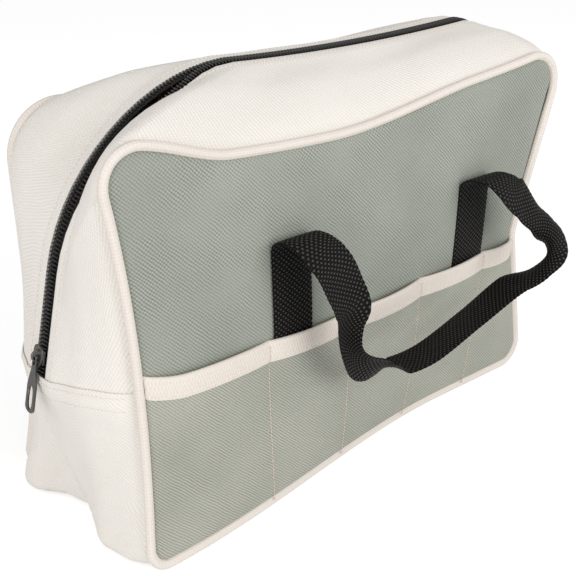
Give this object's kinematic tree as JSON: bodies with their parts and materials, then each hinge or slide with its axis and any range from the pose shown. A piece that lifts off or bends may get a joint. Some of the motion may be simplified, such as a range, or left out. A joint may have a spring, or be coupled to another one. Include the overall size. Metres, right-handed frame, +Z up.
{
  "type": "zip-top tool bag",
  "caption": "Rectangular zip-top cloth tool bag with piped front and rear panels, a divided front pocket, cloth gussets and webbing carry handles.",
  "frame": {"origin": "middle of the flat bottom, on the surface the bag stands on", "axes": "+X along the length towards the right end seen from the front, +Y towards the back, +Z up"},
  "size_m": [0.4054, 0.2612, 0.277],
  "materials": {
    "sage_cloth": "coarse oxford weave, matt",
    "cream_cloth": "fine oxford weave, matt",
    "black_webbing": "ribbed woven webbing",
    "zip_nylon": "woven tape and moulded coil, matt",
    "zip_metal": "dark lacquer, worn at the edges"
  },
  "bodies": {
    "root": {"front_panel_lower": "sage_cloth", "rear_panel_lower": "sage_cloth", "front_piping_lower": "cream_cloth", "rear_piping_lower": "cream_cloth", "lower_gusset": "cream_cloth", "pocket_panel": "sage_cloth"},
    "front_flap": {"front_panel_upper": "sage_cloth", "front_piping_upper": "cream_cloth", "front_zip_strip": "cream_cloth", "front_zip_tape": "zip_nylon", "front_zip_coil": "zip_nylon", "front_handle_left_end": "black_webbing", "front_handle_right_end": "black_webbing", "pocket_binding": "cream_cloth"},
    "rear_flap": {"rear_panel_upper": "sage_cloth", "rear_piping_upper": "cream_cloth", "rear_zip_strip": "cream_cloth", "rear_zip_tape": "zip_nylon", "rear_zip_coil": "zip_nylon", "rear_handle_left_end": "black_webbing", "rear_handle_right_end": "black_webbing"},
    "front_handle": {"front_handle_loop": "black_webbing"},
    "rear_handle": {"rear_handle_loop": "black_webbing"},
    "slider": {"zip_slider": "zip_metal"},
    "pull_tab": {"zip_pull_tab": "zip_metal"}
  },
  "joints": [
    {"name": "front_flap_fold", "type": "hinge", "parent": "root", "child": "front_flap", "pos_m": [0, -0.085, 0.104], "axis": [1, 0, 0], "range_deg": [0, 25], "deforming": ["front_zip_tape", "front_zip_coil"]},
    {"name": "rear_flap_fold", "type": "hinge", "parent": "root", "child": "rear_flap", "pos_m": [0, 0.0735, 0.104], "axis": [-1, 0, 0], "range_deg": [0, 25], "deforming": ["rear_zip_tape", "rear_zip_coil"]},
    {"name": "front_handle_swing", "type": "hinge", "parent": "front_flap", "child": "front_handle", "pos_m": [0, -0.08315, 0.188], "axis": [-1, 0, 0], "range_deg": [0, 145]},
    {"name": "rear_handle_swing", "type": "hinge", "parent": "rear_flap", "child": "rear_handle", "pos_m": [0, 0.08315, 0.188], "axis": [1, 0, 0], "range_deg": [0, 145]},
    {"name": "zip_slide", "type": "slide", "parent": "root", "child": "slider", "axis": [0.2265, 0, 0.974], "range_m": [-0.006, 0.046]},
    {"name": "pull_tab_swing", "type": "hinge", "parent": "slider", "child": "pull_tab", "pos_m": [-0.19822, 0, 0.12092], "axis": [0, 1, 0], "range_deg": [0, 150]}
  ]
}
